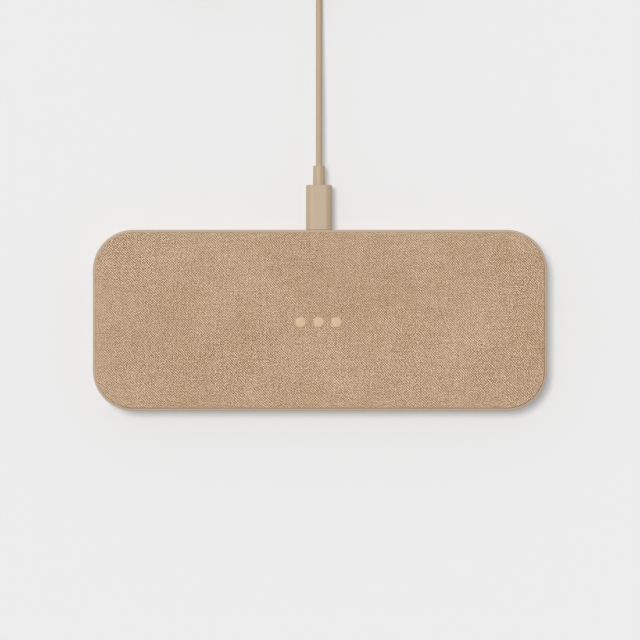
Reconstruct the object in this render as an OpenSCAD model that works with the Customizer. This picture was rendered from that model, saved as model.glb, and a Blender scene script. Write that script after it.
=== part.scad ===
// Dual wireless charging pad with a linen top and a detachable USB-C lead.
// Millimetres. +Z is up and +Y is the rear, where the lead plugs in. The origin is on the surface that the
// pad stands on, under the middle of the pad.

/* [Pad] */
// Length of the pad, side to side
pad_l = 190; // [186:1:220]
// Width of the pad, front to rear
pad_w = 75.7; // [75:0.1:90]
// Corner radius of the pad, seen from above
corner_r = 16.9; // [15:0.1:20]
// Height from the standing surface to the top of the linen
pad_h = 11; // [11:0.5:13]
// Width of the moulded rim that shows around the linen
rim_w = 1; // [0.9:0.05:1.2]
// Gap between the rim and the linen
rim_gap = 0.1; // [0.1:0.05:0.3]

/* [Top panel] */
// Thickness of the linen
linen_t = 0.5; // [0.4:0.1:0.6]
// Thickness of the foam under the linen
foam_t = 0.7; // [0.5:0.1:1]
// Thickness of the plate that the linen is wrapped round
plate_t = 1.2; // [1:0.1:1.4]
// Diameter of a marker disc
marker_d = 4.5; // [3:0.5:6]
// Distance between the centres of neighbouring marker discs
marker_pitch = 7.5; // [7:0.5:12]
// Middle marker disc's place, from the middle of the pad
marker_at = [-0.6, -0.8];

/* [Charging zones] */
// Distance between the centres of the two zones
zone_pitch = 94; // [92:1:98]
// Turns in a charging coil
coil_turns = 12; // [8:1:12]
// Radius of a ferrite disc
ferrite_r = 25; // [25:0.1:25.2]

/* [Main board] */
// Width of the board
board_w = 38; // [37:0.5:38.5]
// Port's place along the rear edge, from the middle of the pad
port_x = -0.4; // [-1:0.1:1]

/* [Lead] */
// Diameter of the cord
cord_d = 2.65; // [2.4:0.05:3]
// Width, height and length of the USB-C plug's overmould
plug_size = [10.9, 6.2, 18.8];
// Diameter and length of the plug's strain relief
relief_size = [5.1, 8.1];
// Width, height and length of the charger plug's overmould
charger_plug_size = [15.5, 7.8, 20];

/* [Hidden] */
$fn = 64;

// Overshoot of a cutter past the face that it cuts, and overlap of solids that join
cut = 1;
overlap = 0.4;

// Levels of the housing, from the standing surface up
foot_proud = 0.7;
foot_t = 1.2;
base_z = foot_proud;
floor_top = base_z + 1.9;
foam_top = pad_h - linen_t;
plate_top = foam_top - foam_t;
plate_bottom = plate_top - plate_t;
fold_top = plate_bottom + linen_t;
rim_top = pad_h - 0.6;

// Insets from the pad's outline
wall_t = 2.6;
foot_inset = 4;
foot_fit = 0.15;
linen_inset = rim_w + rim_gap;
plate_inset = linen_inset + linen_t;
fold_w = 4;
fold_fit = 0.1;

// Edge rounding
base_round = 2.2;
rim_round = 0.5;
linen_round = 0.8;
fold_round = 0.2;
foot_round = 0.3;

// Case screws, from under the foot mat up into the top plate's posts
case_screws_at = [
    for (x = [-84, 84], y = [-25, 25]) [x, y],
    for (x = [-23.5, 23.5], y = [-28.5, 28.5]) [x, y]
];
case_seat = floor_top;
case_boss_top = floor_top + 1.4;
case_boss_r = 3;
case_post_r = 2.6;
case_hole_r = 1.2;
case_head = [1.9, 1.1];
case_shank = [0.88, 5];
case_pilot_r = 0.9;
counterbore_r = 2.1;

// Charging zone stack, hung under the top plate
coil_t = 1.1;
coil_gap = 0.3;
coil_in_r = 10.25;
coil_pitch = 1.2;
coil_wire_w = 1.05;
coil_steps = 36;
coil_z = plate_bottom - coil_gap - coil_t;
ferrite_t = 1;
ferrite_z = coil_z - ferrite_t;
slot_y = [-2.4, 1];
slot_start = 8;
tray_t = 1.2;
tray_z = ferrite_z - tray_t;
tray_r = ferrite_r + 1.4;
tray_fit = 0.15;
tray_rim_top = coil_z - 0.2;
tray_window_r = 7.5;
ear_r = 3.2;
ear_at = 29;
ear_bar_w = 5;
small_hole_r = 1.1;
small_pilot_r = 0.8;
small_shank_r = 0.78;
small_head = [1.7, 1];
tray_boss_r = 2.4;
lead_t = 0.8;
lead_w = 1;
lead_drop_x = zone_pitch/2 - 17.5;
bead = [1.2, 1];

// Main board, with the port sunk into a notch in its rear edge
port_z = 5.6;
board_t = 1.2;
board_top = port_z - 1;
board_z = board_top - board_t;
board_rear = pad_w/2 - wall_t - 0.25;
board_front = -28;
board_corner_r = 1.5;
board_boss_r = 2.2;
board_screws_at = [for (x = [-15.5, 15.5], y = [board_front + 3.5, board_rear - 3.5]) [x, y]];
board_notch_w = 9.2;
led_size = [1.6, 1, 0.7];
led_spacing = 20;
pipe_r = 0.8;
pipe_flange = [1.3, 1];
pipe_z = board_top + 0.4;

// USB-C port
port_mouth = pad_w/2 - 0.7;
port_len = 7.35;
port_back = port_mouth - port_len;
port_outer = [8.94, 3.16];
port_inner = [8.34, 2.56];
port_skin = 0.3;
port_block_l = 1.6;
port_hole = [9.14, 3.36];
tongue_size = [6.69, 4.9, 0.7];

// USB-C plug
plug_face = pad_w/2 + 0.1;
plug_reach = 6.2;
plug_bury = 4;
plug_r = 2.8;
// Rounding of the overmould's ends: beside the pad, and beside the strain relief
plug_edge_r = [0.25, 0.5];
plug_outer = [8.25, 2.4];
plug_inner = [7.65, 1.8];
insert_size = [7.6, 1.76];
insert_slot = [6.9, 0.86];
insert_slot_l = 5.05;
relief_start = plug_face + plug_size[2];
relief_end = relief_start + relief_size[1];

// Cord. The routes are [distance, height]: the lead's from the strain relief's end towards +Y, and the
// tail's from the middle of the wound coil along X. Each has its outer end inside a strain relief.
cord_r = cord_d/2;
lead_route = [
    [-8.1, 5.6], [0, 5.6], [7, 5.6], [14, 5.55], [21, 5.38], [28, 5.08], [35, 4.68], [42, 4.18],
    [49, 3.62], [56, 3.04], [63, 2.5], [70, 2.02], [77, 1.66], [83, 1.48], [89, 1.54], [94, 1.8], [98, 1.92]
];
tail_route = [
    [-6, 9.88], [-11, 9.8], [-16, 9.2], [-22, 7.9], [-28, 6.3], [-34, 4.9], [-39, 4.1], [-44, 3.9],
    [-52, 3.9]
];
cord_sides = 8;

// Wound coil: the unseen length of the cord, four turns wide and four high, held by two ties
wind_mid_r = 13.25;
wind_pitch = cord_d + 0.05;
wind_cols = 4;
wind_rows = 4;
wind_last_turns = 3.75;
wind_in_r = wind_mid_r - wind_pitch*wind_cols/2;
wind_out_r = wind_mid_r + wind_pitch*wind_cols/2;
wind_at = [port_x + wind_out_r, relief_end + 103];
tie_t = 0.6;
tie_sweep = 26;
tie_angles = [80, -20];
wind_z = tie_t;
wind_top = wind_z + wind_rows*cord_d;

// Charger plug, on the surface beside the wound coil
tail_y = wind_at[1] - wind_in_r - wind_pitch*wind_last_turns;
tail_end = wind_at[0] + tail_route[len(tail_route) - 1][0];
charger_relief_l = 8;
charger_r = 2.4;
charger_edge_r = [0.9, 0.5];
charger_shell = [12, 4.5, 12];
charger_skin = 0.3;
charger_window = [2.2, 2.4];
charger_tongue_t = 1.9;

// Colours
linen_colour = [0.737, 0.624, 0.51];
shell_colour = [0.776, 0.686, 0.592];
marker_colour = [0.84, 0.741, 0.608];
foot_colour = [0.68, 0.59, 0.5];
foam_colour = [0.9, 0.88, 0.84];
plate_colour = [0.85, 0.84, 0.82];
steel_colour = [0.72, 0.72, 0.74];
tray_colour = [0.2, 0.2, 0.21];
ferrite_colour = [0.16, 0.16, 0.17];
copper_colour = [0.72, 0.45, 0.25];
board_colour = [0.05, 0.3, 0.18];
chip_colour = [0.08, 0.08, 0.09];
ceramic_colour = [0.66, 0.58, 0.46];

// ---- Shared shapes ----

// Points up the side of a rounded solid as [inset, z], rounded by r0 at the bottom and r1 at the top
function edge(z0, z1, r0, r1, n = 4) = concat(
    [for (i = [0:n]) let(a = 90*i/n) [r0*(1 - sin(a)), z0 + r0*(1 - cos(a))]],
    [for (i = [0:n]) let(a = 90*i/n) [r1*(1 - cos(a)), z1 - r1*(1 - sin(a))]]
);

// Cross-section of width w whose two sides follow the points in side
function across(w, side) = concat(
    [for (p = side) [w/2 - p[0], p[1]]],
    [for (i = [len(side) - 1:-1:0]) [side[i][0] - w/2, side[i][1]]]
);

// Rounded rectangle
module plan(l, w, r) {
    square([l - 2*r, w], center = true);
    square([l, w - 2*r], center = true);
    for (x = [-1, 1], y = [-1, 1])
        translate([x*(l/2 - r), y*(w/2 - r)])
            circle(r);
}

// Slot with round ends
module stadium(size) {
    square([size[0] - size[1], size[1]], center = true);
    for (x = [-1, 1])
        translate([x*(size[0] - size[1])/2, 0])
            circle(size[1]/2);
}

// Rounded rectangular solid whose side follows the points in side
module slab(l, w, r, side) {
    z0 = side[0][1];
    z1 = side[len(side) - 1][1];
    for (x = [-1, 1], y = [-1, 1])
        translate([x*(l/2 - r), y*(w/2 - r), 0])
            rotate_extrude()
                polygon(concat([[0, z0]], [for (p = side) [r - p[0], p[1]]], [[0, z1]]));
    rotate([90, 0, 90])
        linear_extrude(l - 2*r, center = true)
            polygon(across(w, side));
    rotate([90, 0, 0])
        linear_extrude(w - 2*r, center = true)
            polygon(across(l, side));
}

// Layer with the pad's outline, moved in by inset, from z0 to z1
module level(inset, z0, z1) {
    translate([0, 0, z0])
        linear_extrude(z1 - z0)
            plan(pad_l - 2*inset, pad_w - 2*inset, corner_r - inset);
}

// Upright cylinder from z0 to z1
module post(r, z0, z1) {
    translate([0, 0, z0])
        cylinder(r = r, h = z1 - z0);
}

// Box from one corner to the opposite one
module block(low, high) {
    translate(low)
        cube(high - low);
}

// Puts a copy of the children at each point
module at(points) {
    for (p = points)
        translate([p[0], p[1], 0])
            children();
}

// Screw with its head's underside at z and its shank pointing down (or up, if side is -1)
module screw(head, shank_r, shank_l, z, side = 1) {
    translate([0, 0, z])
        mirror([0, 0, side < 0 ? 1 : 0]) {
            difference() {
                cylinder(r = head[0], h = head[1]);
                translate([0, 0, head[1]/2])
                    cylinder(r = head[0]/2, h = head[1], $fn = 6);
            }
            translate([0, 0, -shank_l])
                cylinder(r = shank_r, h = shank_l + overlap);
        }
}

// Children drawn flat are extruded along +Y from y0, on the port's axis
module along_port(y0, length) {
    translate([port_x, y0, port_z])
        rotate([-90, 0, 0])
            linear_extrude(length)
                children();
}

// Children drawn about +Z are turned to point along -X on the charger plug's axis, d past the cord's end
module along_charger(d) {
    translate([tail_end - d, tail_y, charger_plug_size[1]/2])
        rotate([0, -90, 0])
            children();
}

// Children are drawn for the left zone, where the board is towards +X, and mirrored for the right one
module zone(side) {
    translate([side*zone_pitch/2, 0, 0])
        mirror([side > 0 ? 1 : 0, 0, 0])
            children();
}

// Tube of radius r along a route that lies in the plane at right angles to side
module tube(route, r, side) {
    last = len(route) - 1;
    rings = [
        for (i = [0:last])
            let(d = route[min(i + 1, last)] - route[max(i - 1, 0)], up = cross(d/norm(d), side))
                for (k = [0:cord_sides - 1])
                    let(a = 360*k/cord_sides)
                        route[i] + r*(cos(a)*side + sin(a)*up)
    ];
    walls = [
        for (i = [0:last - 1], k = [0:cord_sides - 1])
            let(a = i*cord_sides, b = a + cord_sides, m = (k + 1) % cord_sides)
                [a + k, b + k, b + m, a + m]
    ];
    caps = [
        [for (k = [0:cord_sides - 1]) k],
        [for (k = [cord_sides - 1:-1:0]) last*cord_sides + k]
    ];
    polyhedron(rings, concat(walls, caps), convexity = 4);
}

// ---- Pad ----

module base_housing() {
    color(shell_colour)
        difference() {
            union() {
                difference() {
                    slab(pad_l, pad_w, corner_r, edge(base_z, rim_top, base_round, rim_round));
                    level(wall_t, floor_top, rim_top + cut);
                    level(rim_w, plate_bottom, rim_top + cut);
                    level(foot_inset, base_z - cut, foot_t);
                }
                at(case_screws_at)
                    post(case_boss_r, floor_top - overlap, case_boss_top);
                for (side = [-1, 1])
                    zone(side)
                        at_ears()
                            post(tray_boss_r, floor_top - overlap, tray_z);
                translate([port_x, 0, 0])
                    at(board_screws_at)
                        post(board_boss_r, floor_top - overlap, board_z);
            }
            at(case_screws_at) {
                post(counterbore_r, foot_t - cut, case_seat);
                post(case_hole_r, 0, case_boss_top + cut);
            }
            for (side = [-1, 1])
                zone(side)
                    at_ears()
                        post(small_pilot_r, floor_top - 0.6, tray_z + cut);
            translate([port_x, 0, 0])
                at(board_screws_at)
                    post(small_pilot_r, floor_top - 0.9, board_z + cut);
            along_port(pad_w/2 - wall_t - cut, wall_t + 2*cut)
                stadium(port_hole);
            at_pipes()
                cylinder(r = pipe_r + 0.05, h = wall_t + 2*cut, center = true);
        }
}

module foot_mat() {
    inset = foot_inset + foot_fit;
    color(foot_colour)
        slab(pad_l - 2*inset, pad_w - 2*inset, corner_r - inset, edge(0, foot_t, foot_round, 0));
}

module case_screws() {
    color(steel_colour)
        at(case_screws_at)
            screw(case_head, case_shank[0], case_shank[1], case_seat, -1);
}

module top_plate() {
    color(plate_colour)
        difference() {
            union() {
                level(plate_inset, fold_top, plate_top);
                level(plate_inset + fold_w + fold_fit, plate_bottom, plate_top);
                at(case_screws_at)
                    post(case_post_r, case_boss_top, plate_bottom + overlap);
            }
            at(case_screws_at)
                post(case_pilot_r, case_boss_top - cut, plate_bottom - 0.4);
        }
}

module foam_pad() {
    color(foam_colour)
        level(plate_inset, plate_top, foam_top);
}

module at_markers() {
    for (i = [-1:1])
        translate([marker_at[0] + i*marker_pitch, marker_at[1], 0])
            children();
}

module linen_cover() {
    l = pad_l - 2*linen_inset;
    w = pad_w - 2*linen_inset;
    color(linen_colour)
        difference() {
            slab(l, w, corner_r - linen_inset, edge(plate_bottom, pad_h, fold_round, linen_round));
            level(plate_inset, fold_top, foam_top);
            level(plate_inset + fold_w, plate_bottom - cut, fold_top + cut);
            at_markers()
                post(marker_d/2, foam_top - cut, pad_h + cut);
        }
}

module marker_discs() {
    bevel = 0.1;
    top = pad_h - 0.02;
    color(marker_colour)
        at_markers() {
            post(marker_d/2, foam_top, top - bevel);
            translate([0, 0, top - bevel])
                cylinder(r1 = marker_d/2, r2 = marker_d/2 - bevel, h = bevel);
        }
}

// ---- Charging zones ----

module at_ears() {
    for (a = [45:90:315])
        rotate(a)
            translate([ear_at, 0, 0])
                children();
}

module coil_tray(side) {
    color(tray_colour)
        zone(side)
            difference() {
                union() {
                    post(tray_r, tray_z, tray_rim_top);
                    at_ears() {
                        post(ear_r, tray_z, ferrite_z);
                        block([tray_r - ear_r - ear_at, -ear_bar_w/2, tray_z], [0, ear_bar_w/2, ferrite_z]);
                    }
                }
                post(ferrite_r + tray_fit, ferrite_z, tray_rim_top + cut);
                post(tray_window_r, tray_z - cut, ferrite_z + cut);
                at_ears()
                    post(small_hole_r, tray_z - cut, ferrite_z + cut);
                block(
                    [ferrite_r - cut, slot_y[0], ferrite_z],
                    [tray_r + cut, slot_y[1], tray_rim_top + cut]
                );
            }
}

module tray_screws() {
    color(steel_colour)
        for (side = [-1, 1])
            zone(side)
                at_ears()
                    screw(small_head, small_shank_r, ferrite_z - floor_top, ferrite_z);
}

module ferrite(side) {
    color(ferrite_colour)
        zone(side)
            difference() {
                post(ferrite_r, ferrite_z, coil_z);
                block(
                    [slot_start, slot_y[0], ferrite_z - cut],
                    [ferrite_r + cut, slot_y[1], coil_z + cut]
                );
            }
}

// Inner radius of the flat spiral after the given number of turns
function spiral_r(turns) = coil_in_r + coil_pitch*turns;

// Point after i steps of the flat spiral, moved out from its inner edge
function spiral_point(i, out) =
    let(a = 360*i/coil_steps)
        (spiral_r(i/coil_steps) + out)*[cos(a), sin(a)];

module charging_coil(side) {
    last = coil_turns*coil_steps + 1;
    lead_z = ferrite_z + 0.1;
    outer_x = spiral_r(last/coil_steps)*cos(360/coil_steps) + 0.05;
    outer_y = spiral_r(last/coil_steps)*sin(360/coil_steps);
    drop = [lead_drop_x, lead_drop_x + lead_t];
    color(copper_colour)
        zone(side) {
            translate([0, 0, coil_z])
                linear_extrude(coil_t)
                    polygon(concat(
                        [for (i = [0:last]) spiral_point(i, coil_wire_w)],
                        [for (i = [last:-1:0]) spiral_point(i, 0)]
                    ));
            // Inner lead, in the ferrite's slot
            block([coil_in_r, -lead_w/2, lead_z], [coil_in_r + lead_w, lead_w/2, coil_z + overlap]);
            block([coil_in_r, -lead_w/2, lead_z], [drop[1], lead_w/2, lead_z + lead_t]);
            block([drop[0], -lead_w/2, board_top], [drop[1], lead_w/2, lead_z + lead_t]);
            // Outer lead, over the tray's rim
            block([outer_x, outer_y - lead_w/2, coil_z], [drop[1], outer_y + lead_w/2, coil_z + lead_t]);
            block([drop[0], outer_y - lead_w/2, board_top], [drop[1], outer_y + lead_w/2, coil_z + lead_t]);
        }
}

module coil_thermistors() {
    ribbon_y = [-1.9, -1.1];
    ribbon_t = 0.3;
    dip_x = slot_start + 0.6;
    dip_z = ferrite_z + 0.1;
    color(chip_colour)
        for (side = [-1, 1])
            zone(side) {
                translate([0, -bead[1], 0])
                    post(bead[0], coil_z, coil_z + bead[1]);
                block([0, ribbon_y[0], coil_z], [dip_x, ribbon_y[1], coil_z + ribbon_t]);
                block([dip_x, ribbon_y[0], dip_z], [dip_x + ribbon_t, ribbon_y[1], coil_z + ribbon_t]);
                block([dip_x, ribbon_y[0], dip_z], [lead_drop_x, ribbon_y[1], dip_z + ribbon_t]);
                block(
                    [lead_drop_x, ribbon_y[0], board_top],
                    [lead_drop_x + ribbon_t, ribbon_y[1], dip_z + ribbon_t]
                );
            }
}

// ---- Main board ----

module main_board() {
    color(board_colour)
        translate([port_x, 0, 0])
            difference() {
                translate([0, (board_front + board_rear)/2, board_z])
                    linear_extrude(board_t)
                        plan(board_w, board_rear - board_front, board_corner_r);
                at(board_screws_at)
                    post(small_hole_r, board_z - cut, board_top + cut);
                block(
                    [-board_notch_w/2, port_back - 0.1, board_z - cut],
                    [board_notch_w/2, pad_w/2, board_top + cut]
                );
            }
}

module board_screws() {
    color(steel_colour)
        translate([port_x, 0, 0])
            at(board_screws_at)
                screw(small_head, small_shank_r, 2.7, board_top);
}

module usb_port_shell() {
    wing_x = [4, 5.7];
    wing_t = 0.3;
    color(steel_colour) {
        difference() {
            along_port(port_back, port_len)
                stadium(port_outer);
            along_port(port_back + port_skin, port_len)
                stadium(port_inner);
        }
        for (side = [-1, 1], y = [port_back + 0.6, port_back + 3.4])
            translate([port_x + side*(wing_x[0] + wing_x[1])/2, y + 0.6, board_top + wing_t/2])
                cube([wing_x[1] - wing_x[0], 1.2, wing_t], center = true);
    }
}

module usb_port_tongue() {
    block_start = port_back + port_skin;
    color(chip_colour) {
        along_port(block_start, port_block_l)
            stadium(port_inner - [0.04, 0.04]);
        along_port(block_start + port_block_l - overlap, tongue_size[1] + overlap)
            square([tongue_size[0], tongue_size[2]], center = true);
    }
}

// Boxes of the given size standing on the board, centred at each point
module on_board(points, size) {
    translate([port_x, 0, board_top])
        at(points)
            translate([-size[0]/2, -size[1]/2, 0])
                cube(size);
}

module controller_chips() {
    color(chip_colour)
        on_board([[-7, 8], [7, 8]], [6, 6, 0.9]);
}

module driver_chips() {
    color(chip_colour)
        on_board([[-9, -4], [9, -4]], [5, 5, 0.85]);
}

module power_inductors() {
    color(ferrite_colour)
        on_board([[-10, 20], [10, 20]], [6.6, 6.6, 2.8]);
}

module resonant_capacitors() {
    color(ceramic_colour)
        on_board([for (x = [-13, -8.5, 8.5, 13], y = [-18, -12.5]) [x, y]], [3.2, 4.5, 2.2]);
}

module input_capacitors() {
    can_r = 2.5;
    color(steel_colour)
        translate([port_x, 0, 0])
            for (x = [-1, 1])
                translate([x*3.2, 24, 0])
                    post(can_r, board_top, board_top + 3.4);
}

module status_leds() {
    color("white")
        on_board([for (x = [-1, 1]) [x*led_spacing/2, board_front + led_size[1]/2 + 0.2]], led_size);
}

module at_pipes() {
    for (x = [-1, 1])
        translate([port_x + x*led_spacing/2, wall_t/2 - pad_w/2, pipe_z])
            rotate([90, 0, 0])
                children();
}

module light_pipes() {
    inner_end = board_front - 0.4;
    outer_end = -pad_w/2;
    flange_y = wall_t - pad_w/2;
    color("white")
        at_pipes()
            translate([0, 0, wall_t/2]) {
                mirror([0, 0, 1])
                    cylinder(r = pipe_r, h = inner_end - outer_end);
                translate([0, 0, outer_end - flange_y - pipe_flange[1]])
                    cylinder(r = pipe_flange[0], h = pipe_flange[1]);
            }
}

// ---- Lead: USB-C end ----

module plug_overmould() {
    color(shell_colour)
        difference() {
            translate([port_x, plug_face, port_z])
                rotate([-90, 0, 0])
                    slab(
                        plug_size[0], plug_size[1], plug_r,
                        edge(0, plug_size[2], plug_edge_r[0], plug_edge_r[1])
                    );
            along_port(plug_face - cut, plug_bury + cut)
                stadium(plug_outer);
        }
}

module plug_shell() {
    color(steel_colour)
        difference() {
            along_port(plug_face - plug_reach, plug_reach + plug_bury)
                stadium(plug_outer);
            along_port(plug_face - plug_reach - cut, plug_reach + plug_bury + 2*cut)
                stadium(plug_inner);
        }
}

module plug_insert() {
    front = plug_face - plug_reach + 0.1;
    color(chip_colour)
        difference() {
            along_port(front, plug_face + plug_bury - front)
                stadium(insert_size);
            along_port(front - cut, insert_slot_l + cut)
                square(insert_slot, center = true);
        }
}

// Round sleeve about +Z from 0 to length, with its far end rounded, bored for the cord
module sleeve(r, length) {
    bore = cord_r + 0.02;
    outside = [for (p = edge(0, length, 0, 0.6)) [r - p[0], p[1]]];
    rotate_extrude()
        polygon(concat([[bore, 0]], outside, [[bore, length]]));
}

module plug_strain_relief() {
    color(shell_colour)
        translate([port_x, relief_start, port_z])
            rotate([-90, 0, 0])
                sleeve(relief_size[0]/2, relief_size[1]);
}

// ---- Lead: cord ----

module cord_lead() {
    color(shell_colour)
        tube([for (p = lead_route) [port_x, relief_end + p[0], p[1]]], cord_r, [1, 0, 0]);
}

module cord_coil() {
    color(shell_colour)
        translate([wind_at[0], wind_at[1], 0])
            rotate_extrude()
                translate([wind_in_r - cord_r, wind_z])
                    square([wind_out_r - wind_in_r + cord_d, wind_top - wind_z]);
}

module cord_tail() {
    color(shell_colour)
        tube([for (p = tail_route) [wind_at[0] + p[0], tail_y, p[1]]], cord_r, [0, 1, 0]);
}

module cord_ties() {
    low = wind_in_r - cord_r;
    high = wind_out_r + cord_r;
    color(foot_colour)
        translate([wind_at[0], wind_at[1], 0])
            for (a = tie_angles)
                rotate(a - tie_sweep/2)
                    rotate_extrude(angle = tie_sweep)
                        difference() {
                            translate([low - tie_t, wind_z - tie_t])
                                square([high - low + 2*tie_t, wind_top - wind_z + 2*tie_t]);
                            translate([low, wind_z])
                                square([high - low, wind_top - wind_z]);
                        }
}

// ---- Lead: charger end ----

module charger_plug_relief() {
    color(shell_colour)
        along_charger(0)
            mirror([0, 0, 1])
                sleeve(relief_size[0]/2, charger_relief_l);
}

module charger_plug_overmould() {
    color(shell_colour)
        along_charger(0)
            slab(
                charger_plug_size[1], charger_plug_size[0], charger_r,
                edge(0, charger_plug_size[2], charger_edge_r[0], charger_edge_r[1])
            );
}

module charger_plug_shell() {
    size = charger_shell;
    color(steel_colour)
        along_charger(charger_plug_size[2])
            difference() {
                linear_extrude(size[2])
                    square([size[1], size[0]], center = true);
                translate([0, 0, -cut])
                    linear_extrude(size[2] + 2*cut)
                        square([size[1] - 2*charger_skin, size[0] - 2*charger_skin], center = true);
                for (y = [-1, 1])
                    translate([0, y*size[0]/4, size[2]/2])
                        cube([size[1] + cut, charger_window[0], charger_window[1]], center = true);
            }
}

module charger_plug_insert() {
    gap = 0.05;
    width = charger_shell[0] - 2*charger_skin - 2*gap;
    bottom = gap + charger_skin - charger_shell[1]/2;
    color(chip_colour)
        along_charger(charger_plug_size[2])
            block([bottom, -width/2, 0], [bottom + charger_tongue_t, width/2, charger_shell[2] - 0.5]);
}

base_housing();
foot_mat();
case_screws();
top_plate();
foam_pad();
linen_cover();
marker_discs();
coil_tray(-1);  // coil_tray_left
coil_tray(1);  // coil_tray_right
tray_screws();
ferrite(-1);  // ferrite_left
ferrite(1);  // ferrite_right
charging_coil(-1);  // charging_coil_left
charging_coil(1);  // charging_coil_right
coil_thermistors();
main_board();
board_screws();
usb_port_shell();
usb_port_tongue();
controller_chips();
driver_chips();
power_inductors();
resonant_capacitors();
input_capacitors();
status_leds();
light_pipes();
plug_overmould();
plug_shell();
plug_insert();
plug_strain_relief();
cord_lead();
cord_coil();
cord_tail();
cord_ties();
charger_plug_relief();
charger_plug_overmould();
charger_plug_shell();
charger_plug_insert();
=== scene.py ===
"""The looks of a dual wireless charging pad with a linen top and a detachable USB-C lead.

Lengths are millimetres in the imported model's frame: +Z is up, +Y is the rear, and the pad stands on
z = 0. They are scaled to metres as each mesh, curve, light or camera is made.
"""

import math

import bmesh
import bpy
from mathutils import Matrix, Vector, noise


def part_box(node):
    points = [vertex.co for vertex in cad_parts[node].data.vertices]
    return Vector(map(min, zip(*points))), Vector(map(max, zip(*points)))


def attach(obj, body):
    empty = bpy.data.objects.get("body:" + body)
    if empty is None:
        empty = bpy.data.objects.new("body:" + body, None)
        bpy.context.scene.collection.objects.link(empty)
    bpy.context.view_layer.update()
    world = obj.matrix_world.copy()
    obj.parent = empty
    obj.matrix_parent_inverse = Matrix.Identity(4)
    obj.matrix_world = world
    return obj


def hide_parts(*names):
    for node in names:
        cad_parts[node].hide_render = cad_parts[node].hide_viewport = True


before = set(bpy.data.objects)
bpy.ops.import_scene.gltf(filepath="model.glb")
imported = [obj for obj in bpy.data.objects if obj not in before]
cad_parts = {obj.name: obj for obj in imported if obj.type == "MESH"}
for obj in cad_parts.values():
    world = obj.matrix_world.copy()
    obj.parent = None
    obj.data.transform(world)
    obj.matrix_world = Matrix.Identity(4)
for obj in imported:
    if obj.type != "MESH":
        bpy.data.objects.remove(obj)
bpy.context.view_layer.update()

MM = 0.001

# ---- Sizes that the frame gives ----


def extent(node):
    """The lowest and highest corner of a CAD node, in millimetres."""
    low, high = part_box(node)
    return low / MM, high / MM


pad_low, pad_high = extent("base_housing")
linen_low, linen_high = extent("linen_cover")
foam_low, foam_high = extent("foam_pad")
foot_low, foot_high = extent("foot_mat")
board_low, board_high = extent("main_board")
pipe_low, pipe_high = extent("light_pipes")
plug_low, plug_high = extent("plug_overmould")
relief_low, relief_high = extent("plug_strain_relief")
coil_low, coil_high = extent("cord_coil")
charger_low, charger_high = extent("charger_plug_overmould")
charger_relief_low, charger_relief_high = extent("charger_plug_relief")

PAD_L = pad_high.x - pad_low.x
PAD_W = pad_high.y - pad_low.y
BASE_Z = pad_low.z
RIM_TOP = pad_high.z
PAD_TOP = linen_high.z
PLATE_BOTTOM = linen_low.z
FOAM_TOP = foam_high.z
PLATE_TOP = foam_low.z
FOOT_TOP = foot_high.z
FOAM_INSET = pad_high.x - foam_high.x
FOOT_INSET = pad_high.x - foot_high.x
PORT_X = (plug_low.x + plug_high.x) / 2
PORT_Z = (plug_low.z + plug_high.z) / 2
PLUG_FACE = plug_low.y
RELIEF_END = relief_high.y

# ---- Sizes that the boxes don't show ----

CORNER_R = 16.9
WALL = 2.6
FLOOR_TOP = 2.6
RIM_W = 1.0
BASE_ROUND = 2.2
RIM_ROUND = 0.5
RECESS_INSET = 4.0
RIM_INNER_ROUND = 0.1
RECESS_ROUND = 0.2

FOOT_ROUND = 0.3
# The groove's two edges, in from the mat's edge, and its side: [in from the groove's edge, depth]
FOOT_GROOVE = (4.0, 5.4)
FOOT_GROOVE_SIDE = ((0.0, 0.0), (0.15, 0.22), (0.3, 0.3))

FOAM_PULL = 0.06
FOAM_SKIN = 0.2

LINEN_T = 0.5
LINEN_GAP = 0.02
LINEN_ROUND = 0.7
FOLD_W = 4.0
FOLD_ROUND = 0.2
CLOTH_STEP = 1.5
DIMPLE = 0.16
DIMPLE_R = 1.1
RIPPLE = 0.03
RIPPLE_SIZE = 9
RIPPLE_FADE = 4

MARKER_R = 2.25
MARKER_PITCH = 7.5
MARKER_AT = (-0.6, -0.8)
MARKERS = [(MARKER_AT[0] + i * MARKER_PITCH, MARKER_AT[1]) for i in (-1, 0, 1)]
MARKER_TOP = PAD_TOP + 0.1
MARKER_ROUND = 0.22
MARKER_GAP = 0.04
MARKER_DOME = 0.02
MARKER_DOME_SHARE = 0.45

CASE_SCREWS = [(x, y) for x in (-84, 84) for y in (-25, 25)]
CASE_SCREWS += [(x, y) for x in (-23.5, 23.5) for y in (-28.5, 28.5)]
CASE_BOSS_R = 3.0
CASE_BOSS_TOP = 4.0
CASE_HOLE_R = 1.2
COUNTERBORE_R = 2.1
ZONE_X = 47.0
EAR_AT = 29.0
TRAY_BOSS_R = 2.4
TRAY_Z = 5.0
BOARD_BOSS_R = 2.2
BOARD_SCREW_X = 15.5
BOARD_SCREW_IN = 3.5
PILOT_R = 0.8
BOSS_SINK = 0.4
TRAY_PILOT_SINK = 0.6
BOARD_PILOT_SINK = 0.9
PIPE_R = 0.8
PIPE_GAP = 0.05
PIPE_SPACING = 20.0
PORT_HOLE = (9.14, 3.36)
# The flare of the port's mouth: [inset, distance behind the pad's rear face]
PORT_MOUTH = ((0, -0.25), (-0.06, -0.1), (-0.25, 0.0))
PLUG_SHELL = (8.25, 2.4)
PLUG_BURY = 4.0

# The rounding of the grips' long edges, and of each end: port and cord end, then cord and shell end
PLUG_R = 2.8
PLUG_EDGE_R = (0.12, 0.5)
CHARGER_R = 2.4
CHARGER_EDGE_R = (0.9, 0.5)

CORD_D = 2.65
CORD_R = CORD_D / 2
RELIEF_TAPER = 0.08
RELIEF_ROUND = 0.3
RELIEF_GAP = 0.02
RELIEF_COLLAR_SHARE = 0.15
RELIEF_MOUTH = 0.1

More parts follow.
